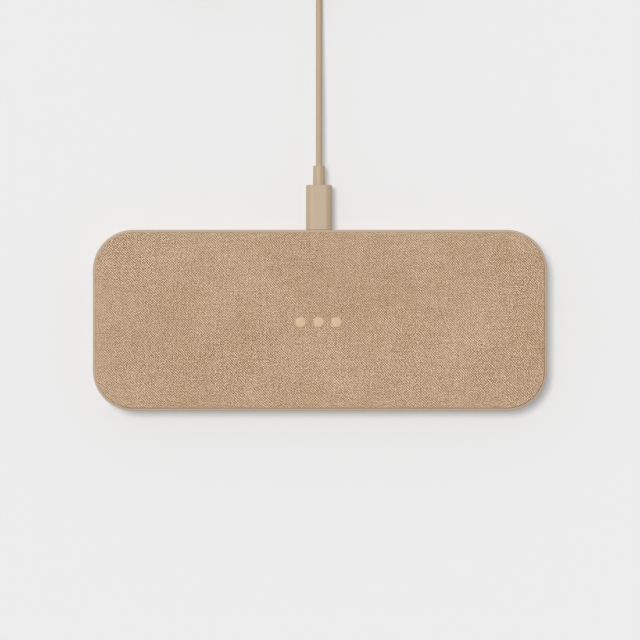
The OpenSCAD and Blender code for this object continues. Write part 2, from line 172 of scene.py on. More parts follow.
# The cord's routes, as in part.scad: [distance, height] from the strain relief's end towards +Y, and
# from the middle of the wound coil along X
LEAD_ROUTE = [
    (-8.1, 5.6), (0, 5.6), (7, 5.6), (14, 5.55), (21, 5.38), (28, 5.08), (35, 4.68), (42, 4.18),
    (49, 3.62), (56, 3.04), (63, 2.5), (70, 2.02), (77, 1.66), (83, 1.48), (89, 1.54), (94, 1.8),
    (98, 1.92),
]
TAIL_ROUTE = [
    (-6, 9.88), (-11, 9.8), (-16, 9.2), (-22, 7.9), (-28, 6.3), (-34, 4.9), (-39, 4.1), (-44, 3.9),
    (-52, 3.9),
]

WIND_TURNS = 4
WIND_ROWS = 4
WIND_LAST_TURNS = 3.75
WIND_PITCH = 2.7
WIND_IN_R = 7.85
WIND_OUT_R = WIND_IN_R + WIND_TURNS * WIND_PITCH
WIND_AT = (coil_low + coil_high) / 2
WIND_Z = coil_low.z
TIE_T = 0.6
TIE_W = 5.0
# How far the strap's faces are drawn together, by the distance from its edges
TIE_EDGE = ((0.0, 0.21), (0.1, 0.06), (0.4, 0.0))
TIE_ANGLES = (math.radians(80), math.radians(-20))


# ---- Building meshes ----


def link(obj):
    """Puts an object in the scene, and gives it back."""
    bpy.context.scene.collection.objects.link(obj)
    return obj


def solid(name, points, faces):
    """A mesh object from points in millimetres, left in millimetres until finished() scales it."""
    mesh = bpy.data.meshes.new(name)
    mesh.from_pydata(points, [], faces)
    form = bmesh.new()
    form.from_mesh(mesh)
    bmesh.ops.remove_doubles(form, verts=form.verts, dist=1e-4)
    bmesh.ops.recalc_face_normals(form, faces=form.faces)
    form.to_mesh(mesh)
    form.free()
    return link(bpy.data.objects.new(name, mesh))


def arc(steps, start=0.0, sweep=math.pi / 2):
    """Angles from start through sweep, in equal steps."""
    return [start + sweep * i / steps for i in range(steps + 1)]


def outline(length, width, radius, inset=0.0, arc_steps=16, long_steps=1, short_steps=1):
    """Points round a rounded rectangle that is moved in by inset, anticlockwise."""
    half = (length / 2 - radius, width / 2 - radius)
    centres = [(half[0], half[1]), (-half[0], half[1]), (-half[0], -half[1]), (half[0], -half[1])]
    points = []
    for k, (cx, cy) in enumerate(centres):
        turned = [
            (cx + (radius - inset) * math.cos(a), cy + (radius - inset) * math.sin(a))
            for a in arc(arc_steps, k * math.pi / 2)
        ]
        after = centres[(k + 1) % 4]
        steps = long_steps if k % 2 == 0 else short_steps
        last = turned[-1]
        step = ((after[0] - cx) / steps, (after[1] - cy) / steps)
        points += turned + [(last[0] + step[0] * i, last[1] + step[1] * i) for i in range(1, steps)]
    return points


def edge(inset, z, round_r, convex_up, steps=8):
    """[inset, z] points of a quarter round that ends a wall at z, from the wall to the flat face."""
    side = 1 if convex_up else -1
    return [
        (inset + round_r * (1 - math.cos(a)), z - side * round_r * (1 - math.sin(a)))
        for a in arc(steps)
    ]


def rings(profile, length, width, radius, **steps):
    """One ring of points for each [inset, z] of a profile round a rounded rectangle."""
    return [[(x, y, z) for x, y in outline(length, width, radius, inset, **steps)] for inset, z in profile]


def loft(loops, capped=True):
    """Points and faces of a skin over loops that have as many points each."""
    count = len(loops[0])
    points = [p for loop in loops for p in loop]
    faces = []
    for j in range(len(loops) - 1):
        a, b = j * count, (j + 1) * count
        faces += [(a + i, a + (i + 1) % count, b + (i + 1) % count, b + i) for i in range(count)]
    if capped:
        faces.append(list(range(count))[::-1])
        faces.append([(len(loops) - 1) * count + i for i in range(count)])
    return points, faces


def loft_ring(loops):
    """Points and faces of a skin over loops, the last of which joins the first."""
    points, faces = loft(loops, capped=False)
    count = len(loops[0])
    a = (len(loops) - 1) * count
    faces += [(a + i, a + (i + 1) % count, (i + 1) % count, i) for i in range(count)]
    return points, faces


def together(parts):
    """Several (points, faces) as one."""
    points, faces = [], []
    for more_points, more_faces in parts:
        faces += [[i + len(points) for i in face] for face in more_faces]
        points += more_points
    return points, faces


def circle(x, y, radius, z, sides=48):
    """A level circle of points."""
    return [(x + radius * math.cos(a), y + radius * math.sin(a), z) for a in arc(sides, 0, math.tau)[:-1]]


def rod(x, y, radius, z0, z1, sides=48):
    """Points and faces of an upright cylinder."""
    return loft([circle(x, y, radius, z, sides) for z in (z0, z1)])


def placed(part, matrix):
    """The same (points, faces), with the points moved by a matrix."""
    points, faces = part
    return [tuple(matrix @ Vector(p)) for p in points], faces


def towards_rear(x, y, z):
    """The matrix that turns +Z to +Y and moves the origin to a place."""
    return Matrix.Translation((x, y, z)) @ Matrix.Rotation(math.radians(-90), 4, "X")


def towards_left(x, y, z):
    """The matrix that turns +Z to -X and moves the origin to a place."""
    return Matrix.Translation((x, y, z)) @ Matrix.Rotation(math.radians(-90), 4, "Y")


def carve(target, part, operation="DIFFERENCE"):
    """Cuts a (points, faces) out of a solid, or joins it on."""
    tool = solid("tool", *part)
    modifier = target.modifiers.new("carve", "BOOLEAN")
    modifier.object = tool
    modifier.operation = operation
    modifier.solver = "MANIFOLD"
    apply_modifiers(target)
    bpy.data.objects.remove(tool)


def apply_modifiers(obj):
    """Replaces an object's mesh by what its modifiers make of it."""
    graph = bpy.context.evaluated_depsgraph_get()
    made = bpy.data.meshes.new_from_object(obj.evaluated_get(graph))
    obj.modifiers.clear()
    obj.data = made


def finished(obj, finish, slot, body, *nodes, sharp=35):
    """Scales a piece to metres, shades it smooth between its sharp edges and puts it in the frame."""
    if obj.type == "MESH":
        obj.data.transform(Matrix.Scale(MM, 4))
        obj.data.shade_smooth()
        obj.data.set_sharp_from_angle(angle=math.radians(sharp))
        even = obj.modifiers.new("even_shading", "WEIGHTED_NORMAL")
        even.keep_sharp = True
    obj.data.materials.clear()
    obj.data.materials.append(finish)
    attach(obj, body)
    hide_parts(*nodes)
    return obj


# ---- Camera ----

VIEW_WIDTH = 267.7
VIEW_LEVEL = 9.9
VIEW_Y = 0.13
LENS = 200
SENSOR = 36


def make_camera():
    """Looks straight down. It sees VIEW_WIDTH across at the height VIEW_LEVEL, where the rim is widest."""
    data = bpy.data.cameras.new("camera")
    data.lens = LENS
    data.sensor_width = SENSOR
    data.clip_end = 10
    camera = link(bpy.data.objects.new("camera", data))
    camera.location = Vector((0, VIEW_Y, VIEW_LEVEL + VIEW_WIDTH * LENS / SENSOR)) * MM
    bpy.context.scene.camera = camera


# ---- Cord ----


def eased(t):
    """A smooth step from 0 at t = 0 to 1 at t = 1."""
    t = min(max(t, 0.0), 1.0)
    return t * t * (3 - 2 * t)


def wound_points(per_turn=32, rise_before=1 / 12, rise_after=1 / 8):
    """The wound turns: rows that spiral in and out by turns, each climbing onto the one before."""
    turns_in_all = WIND_TURNS * (WIND_ROWS - 1) + WIND_LAST_TURNS
    points = []
    for i in range(round(turns_in_all * per_turn) + 1):
        turns = i / per_turn
        row = min(int(turns / WIND_TURNS), WIND_ROWS - 1)
        along = WIND_PITCH * (turns - row * WIND_TURNS)
        radius = WIND_OUT_R - along if row % 2 == 0 else WIND_IN_R + along
        climbed = sum(
            eased((turns - k * WIND_TURNS + rise_before) / (rise_before + rise_after))
            for k in range(1, WIND_ROWS)
        )
        angle = math.pi - math.tau * turns
        points.append(
            Vector((
                WIND_AT.x + radius * math.cos(angle),
                WIND_AT.y + radius * math.sin(angle),
                WIND_Z + CORD_R + climbed * CORD_D,
            ))
        )
    return points


def cord_points():
    """The whole route: the lead to the wound coil, its turns, and the tail to the charger plug."""
    lead = [Vector((PORT_X, RELIEF_END + along, z)) for along, z in LEAD_ROUTE]
    wound = wound_points()
    tail = [Vector((WIND_AT.x + along, wound[-1].y, z)) for along, z in TAIL_ROUTE]
    return lead + wound + tail


def smooth_curve(name, points, radius):
    """A round curve through points, with handles that follow the neighbouring points."""
    curve = bpy.data.curves.new(name, "CURVE")
    curve.dimensions = "3D"
    curve.bevel_depth = radius * MM
    curve.bevel_resolution = 5
    curve.resolution_u = 4
    curve.use_fill_caps = True
    spline = curve.splines.new("BEZIER")
    spline.bezier_points.add(len(points) - 1)
    for i, knot in enumerate(spline.bezier_points):
        before, here, after = points[max(i - 1, 0)], points[i], points[min(i + 1, len(points) - 1)]
        along = (after - before).normalized()
        knot.handle_left_type = knot.handle_right_type = "FREE"
        knot.co = here * MM
        knot.handle_left = (here - along * (here - before).length / 3) * MM
        knot.handle_right = (here + along * (after - here).length / 3) * MM
    return link(bpy.data.objects.new(name, curve))


def make_cord():
    """The whole cord, from the USB-C plug's strain relief to the charger plug's."""
    return smooth_curve("cord", cord_points(), CORD_R)


# ---- Finishes ----


def srgb(*channels):
    """A linear colour from 0 to 255 display values."""
    return tuple(
        ((c / 255 + 0.055) / 1.055) ** 2.4 if c > 10 else c / 255 / 12.92 for c in channels
    )


class Finish:
    """A material's node tree, with a short call for each kind of node that the finishes use."""

    def __init__(self, name, **settings):
        self.material = bpy.data.materials.new(name)
        self.material.use_nodes = True
        self.nodes = self.material.node_tree.nodes
        self.links = self.material.node_tree.links
        self.surface = self.nodes["Principled BSDF"]
        self.place = self.node("ShaderNodeTexCoord").outputs["Object"]
        self.set(**settings)

    def feed(self, socket, value):
        """Links a socket to another node's output, or sets its value."""
        if isinstance(value, bpy.types.NodeSocket):
            self.links.new(value, socket)
        else:
            socket.default_value = value

    def node(self, kind, inputs=None, **properties):
        """A new node, with its properties set and its inputs fed."""
        node = self.nodes.new(kind)
        for name, value in properties.items():
            setattr(node, name, value)
        for name, value in (inputs or {}).items():
            self.feed(node.inputs[name], value)
        return node

    def set(self, **settings):
        """Sets the shader's sockets: roughness=0.5 is its Roughness, coat_weight=0.1 its Coat Weight."""
        names = {"ior": "IOR", "specular": "Specular IOR Level", "colour": "Base Color"}
        for name, value in settings.items():
            socket = names.get(name) or name.replace("_", " ").title()
            if socket == "Base Color" and not isinstance(value, bpy.types.NodeSocket):
                value = (*value[:3], 1)
            self.feed(self.surface.inputs[socket], value)

    def math(self, operation, a, b=0.0):
        """What a math node makes of one or two values."""
        return self.node("ShaderNodeMath", {0: a, 1: b}, operation=operation).outputs[0]

    def plus(self, a, *more):
        """The sum of the values."""
        for b in more:
            a = self.math("ADD", a, b)
        return a

    def times(self, a, b):
        """The product of two values."""
        return self.math("MULTIPLY", a, b)

    def vector(self, operation, a, b):
        """What a vector math node makes of two vectors."""
        return self.node("ShaderNodeVectorMath", {0: a, 1: b}, operation=operation).outputs[0]

    def apart(self, vector):
        """The three parts of a vector."""
        return self.node("ShaderNodeSeparateXYZ", {"Vector": vector}).outputs

    def joined(self, x, y, z=0.0):
        """The vector of three parts."""
        return self.node("ShaderNodeCombineXYZ", {"X": x, "Y": y, "Z": z}).outputs[0]

    def noise_node(self, size, detail, at, stretch):
        """Noise whose spots are about size across, in the units of the place that it is read at."""
        scaled = self.vector("MULTIPLY", at, tuple(s / size for s in stretch))
        return self.node("ShaderNodeTexNoise", {"Vector": scaled, "Scale": 1.0, "Detail": detail})

    def noise(self, size, detail=2.0, at=None, stretch=(1, 1, 1)):
        """Noise about zero. Without a place it is read on the object, and its size is in millimetres."""
        if at is None:
            at, size = self.place, size * MM
        return self.plus(self.noise_node(size, detail, at, stretch).outputs["Fac"], -0.5)

    def mix(self, factor, low, high):
        """low at factor 0 and high at 1, and on past them."""
        node = self.node("ShaderNodeMix", data_type="RGBA", clamp_factor=False)
        self.feed(node.inputs["Factor"], factor)
        for socket, value in ((6, low), (7, high)):
            if not isinstance(value, bpy.types.NodeSocket):
                value = (*value[:3], 1)
            self.feed(node.inputs[socket], value)
        return node.outputs[2]

    def shaded(self, colour, factor, tint=(1, 1, 1)):
        """A colour, made lighter or darker by factor about zero, by tint times as much in each channel."""
        dark = tuple(c * (1 - t / 2) for c, t in zip(colour, tint))
        light = tuple(c * (1 + t / 2) for c, t in zip(colour, tint))
        return self.mix(self.plus(factor, 0.5), dark, light)

    def bump(self, height, depth):
        """Raises the surface by height times depth millimetres, in the shading only."""
        node = self.node("ShaderNodeBump", {"Height": height, "Distance": depth * MM, "Strength": 1.0})
        self.set(normal=node.outputs["Normal"])


def moulded(name, colour, roughness, grain=0.25, depth=0.012, mottle=0.05, **settings):
    """Moulded plastic or rubber: a fine spark-eroded grain, slight mottling, and a gloss that varies."""
    finish = Finish(name, **settings)
    cloud = finish.noise(14, 3)
    speck = finish.noise(grain * 2.5, 2)
    mottling = finish.plus(finish.times(cloud, mottle), finish.times(speck, mottle))
    finish.set(colour=finish.shaded(colour, mottling))
    gloss = finish.plus(finish.times(finish.noise(6, 4), 0.12), roughness)
    finish.set(roughness=gloss)
    finish.bump(finish.noise(grain, 3), depth)
    return finish.material


def metal(name, colour, roughness, brushed=(1, 1, 1), depth=0.01):
    """Bare or plated metal, with a fine rolled or turned texture."""
    finish = Finish(name, metallic=1.0)
    lines = finish.noise(0.4, 3, stretch=brushed)
    finish.set(colour=finish.shaded(colour, finish.times(finish.noise(3, 3), 0.12)))
    finish.set(roughness=finish.plus(finish.times(lines, 0.25), roughness))
    finish.bump(lines, depth)
    return finish.material


LINEN = srgb(191, 162, 133)
HOUSING = srgb(188, 166, 144)
PLUG = srgb(189, 166, 139)
CORD = srgb(188, 165, 139)
MARKER = srgb(206, 178, 140)
FOOT = srgb(173, 150, 128)

THREAD_X = 0.531
THREAD_Y = 0.549
THREAD_TINT = (0.93, 1.17, 1.52)
# The length of each sway, and how far it moves a thread
THREAD_SWAYS = ((7.0, 0.9), (1.6, 0.4), (0.8, 0.26))
# How far apart neighbouring threads are read in the noise of their tones
THREAD_STEP = 7.3
TONE_ALONG = 0.22
WEAVE_ACROSS = 0.5
WEAVE_ALONG = -0.82
DARKEST = -0.68
LIGHTEST = 0.95


def linen_finish():
    """Plain-woven linen. The cloth attribute is the place on the flat cloth, in millimetres."""
    finish = Finish("linen_weave", roughness=0.9, sheen_weight=0.12, sheen_roughness=0.5, specular=0.25)
    cloth = finish.node("ShaderNodeAttribute", attribute_name="cloth").outputs["Vector"]

    # Threads wander from their straight lines
    place = cloth
    for size, reach in THREAD_SWAYS:
        sway = finish.noise_node(size, 2.0, cloth, (1, 1, 1)).outputs["Color"]
        sway = finish.vector("SUBTRACT", sway, (0.5, 0.5, 0.5))
        place = finish.vector("ADD", place, finish.vector("MULTIPLY", sway, (reach, reach, 0)))
    x, y, _ = finish.apart(place)
    warp = finish.times(x, 1 / THREAD_X)
    weft = finish.times(y, 1 / THREAD_Y)

    # Which thread is on top: positive where the warp is, negative where the weft is. The yarn's twist
    # makes one diagonal stronger
    across = finish.math("COSINE", finish.times(finish.plus(warp, finish.times(weft, -1)), math.pi))
    along = finish.math("COSINE", finish.times(finish.plus(warp, weft), math.pi))
    over = finish.plus(finish.times(across, WEAVE_ACROSS), finish.times(along, WEAVE_ALONG))
    warp_on_top = finish.math("GREATER_THAN", over, 0.0)

    # Each thread has its own tone, which changes slowly along it
    warp_no = finish.times(finish.math("FLOOR", warp), THREAD_STEP)
    weft_no = finish.times(finish.math("FLOOR", weft), THREAD_STEP)
    warp_tone = finish.noise(1.0, 1.0, at=finish.joined(warp_no, finish.times(y, TONE_ALONG), 3.0))
    weft_tone = finish.noise(1.0, 1.0, at=finish.joined(finish.times(x, TONE_ALONG), weft_no, 9.0))
    tone = finish.node("ShaderNodeMix", {"Factor": warp_on_top, 2: weft_tone, 3: warp_tone}).outputs[0]

    # The weave's light and dark squares are partly the threads' own two tones and partly painted shade:
    # where the weft lies on top it is painted darker, and where the warp lies on top lighter, as the
    # threads' relief would shade them. The weave is clearer in some patches than in others. Slubs, flecks
    # and slow clouds of tone lie over it
    patch = finish.plus(finish.times(finish.noise(5.0, 2.0, at=cloth), 2.2), 1.0)
    weave_tone_and_shade = finish.times(over, patch)
    flecks = finish.noise(0.58, 0.0, at=cloth)
    clouds = finish.noise(40.0, 3.0, at=cloth)
    slubs = finish.plus(
        finish.times(finish.noise(1.3, 2.0, at=cloth, stretch=(0.07, 1, 1)), 1.5),
        finish.noise(1.3, 2.0, at=cloth, stretch=(1, 0.07, 1)),
    )
    # The cloth's colour: the threads' tones with the weave's painted shade, and the flecks, clouds and
    # slubs over them
    light = finish.plus(
        finish.times(weave_tone_and_shade, 0.52),
        finish.times(tone, 0.6),
        finish.times(flecks, 1.8),
        finish.times(clouds, 0.3),
        finish.times(slubs, 0.22),
    )
    light = finish.math("MAXIMUM", finish.math("MINIMUM", light, LIGHTEST), DARKEST)
    finish.set(colour=finish.shaded(LINEN, light, THREAD_TINT))
    height = finish.plus(finish.math("ABSOLUTE", over), finish.times(slubs, 0.8), finish.times(flecks, 0.5))
    finish.bump(height, 0.07)
    return finish.material


def foam_finish():
    """Cast polyurethane foam, with open cells."""
    finish = Finish("foam_cells", roughness=0.95)
    scaled = finish.vector("MULTIPLY", finish.place, (2500, 2500, 2500))
    cells = finish.node("ShaderNodeTexVoronoi", {"Vector": scaled, "Scale": 1.0}).outputs["Distance"]
    finish.set(colour=finish.shaded((0.78, 0.75, 0.68), finish.times(cells, 0.35)))
    finish.bump(cells, 0.15)
    return finish.material


def board_finish():
    """Green solder mask over copper tracks that run in short straight lengths."""
    finish = Finish("solder_mask", roughness=0.35, coat_weight=0.3)
    scaled = finish.vector("MULTIPLY", finish.place, (420, 420, 420))
    tracks = finish.node(
        "ShaderNodeTexBrick", {"Vector": scaled, "Scale": 1.0, "Mortar Size": 0.05, "Row Height": 0.35}
    ).outputs["Fac"]
    tint = finish.mix(tracks, (0.01, 0.09, 0.045), (0.035, 0.2, 0.1))
    finish.set(colour=tint)
    finish.bump(tracks, 0.03)
    return finish.material


def copper_finish():
    """Enamelled litz wire: fine strands that twist along the turns."""
    finish = Finish("litz_copper", metallic=0.9, roughness=0.38)
    strands = finish.noise(0.22, 2)
    finish.set(colour=finish.shaded((0.62, 0.27, 0.12), finish.times(strands, 0.9)))
    finish.bump(strands, 0.05)
    return finish.material


def light_pipe_finish():
    """Frosted clear plastic."""
    finish = Finish("frosted_plastic", roughness=0.45, transmission_weight=0.35, ior=1.49)
    finish.set(colour=finish.shaded((0.8, 0.78, 0.74), finish.times(finish.noise(0.8, 2), 0.15)))
    finish.bump(finish.noise(0.15, 2), 0.01)
    return finish.material


def make_finishes():
    """Every finish by the record's slot that it belongs to."""
    return {
        "housing": moulded("housing_plastic", HOUSING, 0.55, specular=0.4),
        "foot_mat": moulded("foot_silicone", FOOT, 0.7, grain=0.4, depth=0.02),
        "screws": metal("zinc_screws", (0.55, 0.55, 0.57), 0.35),
        "top_plate": moulded("plate_plastic", (0.68, 0.66, 0.62), 0.6),
        "foam": foam_finish(),
        "linen": linen_finish(),
        "markers": moulded("marker_silicone", MARKER, 0.45, grain=0.2, depth=0.006, mottle=0.04),
        "coil_tray": moulded("tray_plastic", (0.03, 0.03, 0.033), 0.55),
        "ferrite": moulded("ferrite_ceramic", (0.022, 0.022, 0.024), 0.75, grain=0.12, mottle=0.3),
        "copper": copper_finish(),
        "thermistor": moulded("thermistor_glass", (0.02, 0.02, 0.022), 0.3),
        "board": board_finish(),
        "connector_shell": metal(
            "nickel_plate", (0.42, 0.412, 0.4), 0.42, brushed=(0.3, 0.3, 1), depth=0.002
        ),
        "connector_insert": moulded("insert_plastic", (0.02, 0.02, 0.02), 0.5),
        "chips": moulded("chip_resin", (0.016, 0.016, 0.018), 0.6, grain=0.1),
        "ceramic_parts": moulded("capacitor_ceramic", (0.39, 0.3, 0.18), 0.5),
        "capacitor_cans": metal("aluminium_cans", (0.72, 0.72, 0.73), 0.3),
        "leds": moulded("led_lens", (0.8, 0.78, 0.7), 0.3),
        "light_pipes": light_pipe_finish(),
        "plug_moulding": moulded("plug_plastic", PLUG, 0.47),
        "cord": moulded("cord_jacket", CORD, 0.6, grain=0.3, depth=0.008, specular=0.4),
        "cord_ties": moulded("tie_silicone", FOOT, 0.65, grain=0.5, depth=0.02),
    }


# ---- Pad ----


def make_housing():
    """The moulded base, open at the top, with its bosses, screw holes, port and light pipe holes."""
    profile = [
        (RECESS_INSET, FOOT_TOP),
        *reversed(edge(RECESS_INSET, BASE_Z, -RECESS_ROUND, False, 3)),
        *reversed(edge(0, BASE_Z, BASE_ROUND, False, 12)),
        *edge(0, RIM_TOP, RIM_ROUND, True, 8),
        *reversed(edge(RIM_W, RIM_TOP, -RIM_INNER_ROUND, True, 3)),
        (RIM_W, PLATE_BOTTOM),
        (WALL, PLATE_BOTTOM),
        (WALL, FLOOR_TOP),
    ]
    housing = solid("housing", *loft(rings(profile, PAD_L, PAD_W, CORNER_R, arc_steps=24)))
    ears = [
        (side * ZONE_X + EAR_AT * math.cos(a), EAR_AT * math.sin(a))
        for side in (-1, 1)
        for a in arc(4, math.pi / 4, math.tau)[:4]
    ]
    board_screws = [
        (PORT_X + side * BOARD_SCREW_X, y)
        for side in (-1, 1)
        for y in (board_low.y + BOARD_SCREW_IN, board_high.y - BOARD_SCREW_IN)
    ]
    boss_foot = FLOOR_TOP - BOSS_SINK
    bosses = [rod(x, y, CASE_BOSS_R, boss_foot, CASE_BOSS_TOP) for x, y in CASE_SCREWS]
    bosses += [rod(x, y, TRAY_BOSS_R, boss_foot, TRAY_Z) for x, y in ears]
    bosses += [rod(x, y, BOARD_BOSS_R, boss_foot, board_low.z) for x, y in board_screws]
    carve(housing, together(bosses), "UNION")
    holes = [rod(x, y, CASE_HOLE_R, 0, CASE_BOSS_TOP + 1) for x, y in CASE_SCREWS]
    holes += [rod(x, y, PILOT_R, FLOOR_TOP - TRAY_PILOT_SINK, TRAY_Z + 1) for x, y in ears]
    holes += [rod(x, y, PILOT_R, FLOOR_TOP - BOARD_PILOT_SINK, board_low.z + 1) for x, y in board_screws]
    carve(housing, together(holes))
    carve(housing, together([rod(x, y, COUNTERBORE_R, 0, FLOOR_TOP) for x, y in CASE_SCREWS]))
    mouth = [(0, -1.0 - WALL), *PORT_MOUTH, (PORT_MOUTH[-1][0], 1.0)]
    port = loft(rings(mouth, *PORT_HOLE, PORT_HOLE[1] / 2, arc_steps=12))
    carve(housing, placed(port, towards_rear(PORT_X, pad_high.y, PORT_Z)))
    pipe_z = (pipe_low.z + pipe_high.z) / 2
    for side in (-1, 1):
        pipe = rod(0, 0, PIPE_R + PIPE_GAP, -1, WALL + 1, 32)
        carve(housing, placed(pipe, towards_rear(PORT_X + side * PIPE_SPACING / 2, pad_low.y, pipe_z)))
    return housing


def make_foot_mat():
    """The silicone mat, with a rounded lower edge and a drainage groove just inside it."""
    length, width = foot_high.x - foot_low.x, foot_high.y - foot_low.y
    profile = [(0, FOOT_TOP), *edge(0, 0, FOOT_ROUND, False, 6)]
    profile += [(FOOT_GROOVE[0] + along, depth) for along, depth in FOOT_GROOVE_SIDE]
    profile += [(FOOT_GROOVE[1] - along, depth) for along, depth in reversed(FOOT_GROOVE_SIDE)]
    loops = rings(profile, length, width, CORNER_R - FOOT_INSET, arc_steps=24)
    return solid("foot_mat_silicone", *loft(loops))


def make_foam():
    """The foam layer, with its die-cut edge a little pulled in."""
    length, width = foam_high.x - foam_low.x, foam_high.y - foam_low.y
    profile = [
        (0, PLATE_TOP),
        (FOAM_PULL, PLATE_TOP + FOAM_SKIN),
        (FOAM_PULL, FOAM_TOP - FOAM_SKIN),
        (0, FOAM_TOP),
    ]
    return solid("foam_layer", *loft(rings(profile, length, width, CORNER_R - FOAM_INSET, arc_steps=20)))


def outward(x, y):
    """The direction from a place on the pad to the nearest part of its outline."""
    sx = max(abs(x) - (PAD_L / 2 - CORNER_R), 0.0)
    sy = max(abs(y) - (PAD_W / 2 - CORNER_R), 0.0)
    size = math.hypot(sx, sy)
    if size == 0:
        return 0.0, 0.0
    return math.copysign(sx / size, x), math.copysign(sy / size, y)


def cloth_coordinates(obj):
    """Stores each point's place on the flat cloth: past the edge of the top, it goes on outwards."""
    flat = obj.data.attributes.new("cloth", "FLOAT_VECTOR", "POINT")
    for vertex, place in zip(obj.data.vertices, flat.data):
        x, y, z = vertex.co
        nx, ny = outward(x, y)
        place.vector = (x + nx * (PAD_TOP - z), y + ny * (PAD_TOP - z), 0)


def make_linen():
    """The linen: stretched over the top, down the sides and folded under the plate's edge."""
    long_steps = round((PAD_L - 2 * CORNER_R) / CLOTH_STEP)
    short_steps = round((PAD_W - 2 * CORNER_R) / CLOTH_STEP)
    fold_end = FOAM_INSET + FOLD_W
    wall = RIM_W + LINEN_GAP
    shoulder = wall + LINEN_ROUND
    ring_steps = round((CORNER_R - shoulder) / CLOTH_STEP)
    profile = [
        (FOAM_INSET, FOAM_TOP),
        (FOAM_INSET, PLATE_BOTTOM + LINEN_T),
        (fold_end, PLATE_BOTTOM + LINEN_T),
        (fold_end, PLATE_BOTTOM),
        *reversed(edge(wall, PLATE_BOTTOM, FOLD_ROUND, False, 4)),
        *edge(wall, PAD_TOP, LINEN_ROUND, True, 8),
        *[(shoulder + (CORNER_R - shoulder) * i / ring_steps, PAD_TOP) for i in range(1, ring_steps + 1)],
    ]
    steps = {"arc_steps": 24, "long_steps": long_steps, "short_steps": short_steps}
    loops = rings(profile, PAD_L, PAD_W, CORNER_R, **steps)
    points, faces = loft(loops, capped=False)
    faces.append(list(range(len(loops[0])))[::-1])
    half = (PAD_L / 2 - CORNER_R, PAD_W / 2 - CORNER_R)
    middle = [
        (half[0] * (2 * i / long_steps - 1), half[1] * (2 * j / short_steps - 1), PAD_TOP)
        for j in range(short_steps + 1)
        for i in range(long_steps + 1)
    ]
    row = long_steps + 1
    squares = [
        (j * row + i, j * row + i + 1, (j + 1) * row + i + 1, (j + 1) * row + i)
        for j in range(short_steps)
        for i in range(long_steps)
    ]
    linen = solid("linen_cloth", *together([(points, faces), (middle, squares)]))
    hole_r = MARKER_R + MARKER_GAP
    carve(linen, together([rod(x, y, hole_r, FOAM_TOP - 1, PAD_TOP + 1, 64) for x, y in MARKERS]))
    relax_cloth(linen)
    cloth_coordinates(linen)
    return linen


def relax_cloth(linen):
    """Presses the top down round the marker discs, and lets it ripple a little elsewhere."""
    for vertex in linen.data.vertices:
        x, y, z = vertex.co
        if z < PAD_TOP - 0.01:
            continue
        gap = min(math.hypot(x - mx, y - my) for mx, my in MARKERS) - MARKER_R
        dip = DIMPLE * eased(1 - gap / DIMPLE_R)
        ripple = RIPPLE * noise.noise(Vector((x / RIPPLE_SIZE, y / RIPPLE_SIZE, 2.5)))
        vertex.co.z = z - dip + ripple * eased(gap / RIPPLE_FADE)


def make_markers():
    """Three silicone discs set through the linen, with softly rounded edges."""
    profile = [(MARKER_R, FOAM_TOP)]
    profile += [(MARKER_R - inset, z) for inset, z in edge(0, MARKER_TOP, MARKER_ROUND, True, 6)]
    profile.append((MARKER_R * MARKER_DOME_SHARE, MARKER_TOP + MARKER_DOME))
    discs = [loft([circle(x, y, radius, z, 64) for radius, z in profile]) for x, y in MARKERS]
    return solid("marker_inlays", *together(discs))


# ---- Lead ----


def make_plug_overmould():
    """The moulded grip of the USB-C plug, with the socket that its metal shell sits in."""
    width, height = plug_high.x - plug_low.x, plug_high.z - plug_low.z
    length = plug_high.y - plug_low.y
    front_r, cord_end_r = PLUG_EDGE_R
    profile = [*reversed(edge(0, 0, front_r, False, 6)), *edge(0, length, cord_end_r, True, 8)]
    place = towards_rear(PORT_X, PLUG_FACE, PORT_Z)
    grip = solid("plug_grip", *placed(loft(rings(profile, width, height, PLUG_R, arc_steps=14)), place))
    socket = [(0, -1), (0, PLUG_BURY)]
    carve(grip, placed(loft(rings(socket, *PLUG_SHELL, PLUG_SHELL[1] / 2, arc_steps=12)), place))
    return grip


def sleeve(radius, length):
    """A strain relief about +Z, bored for the cord, that narrows towards its free end."""
    bore = CORD_R + RELIEF_GAP
    narrow = radius - RELIEF_TAPER
    profile = [
        (bore, 0),
        (radius, 0),
        (radius, length * RELIEF_COLLAR_SHARE),
        *[(narrow - inset, z) for inset, z in edge(0, length, RELIEF_ROUND, True, 6)],
        (bore + RELIEF_MOUTH, length),
        (bore, length - RELIEF_MOUTH),
    ]
    return loft_ring([circle(0, 0, ring_r, z) for ring_r, z in profile])


def make_plug_relief():
    """The USB-C plug's strain relief, from the grip's end towards the rear."""
    radius = (relief_high.x - relief_low.x) / 2
    place = towards_rear(PORT_X, relief_low.y, PORT_Z)
    return solid("plug_relief", *placed(sleeve(radius, relief_high.y - relief_low.y), place))


def make_charger_relief():
    """The charger plug's strain relief, from the grip's end towards +X."""
    radius = (charger_relief_high.y - charger_relief_low.y) / 2
    length = charger_relief_high.x - charger_relief_low.x
    centre = (charger_relief_low + charger_relief_high) / 2
    turned = towards_left(charger_relief_low.x, centre.y, centre.z) @ Matrix.Rotation(math.pi, 4, "X")
    return solid("charger_relief", *placed(sleeve(radius, length), turned))


def make_charger_overmould():
    """The grip of the charger plug. Its cord end is rounder than its shell end."""
    height, width = charger_high.z - charger_low.z, charger_high.y - charger_low.y
    length = charger_high.x - charger_low.x
    cord_end_r, shell_end_r = CHARGER_EDGE_R
    profile = [*reversed(edge(0, 0, cord_end_r, False, 8)), *edge(0, length, shell_end_r, True, 6)]
    centre = (charger_low + charger_high) / 2
    place = towards_left(charger_high.x, centre.y, centre.z)
    skin = loft(rings(profile, height, width, CHARGER_R, arc_steps=14))
    return solid("charger_grip", *placed(skin, place))


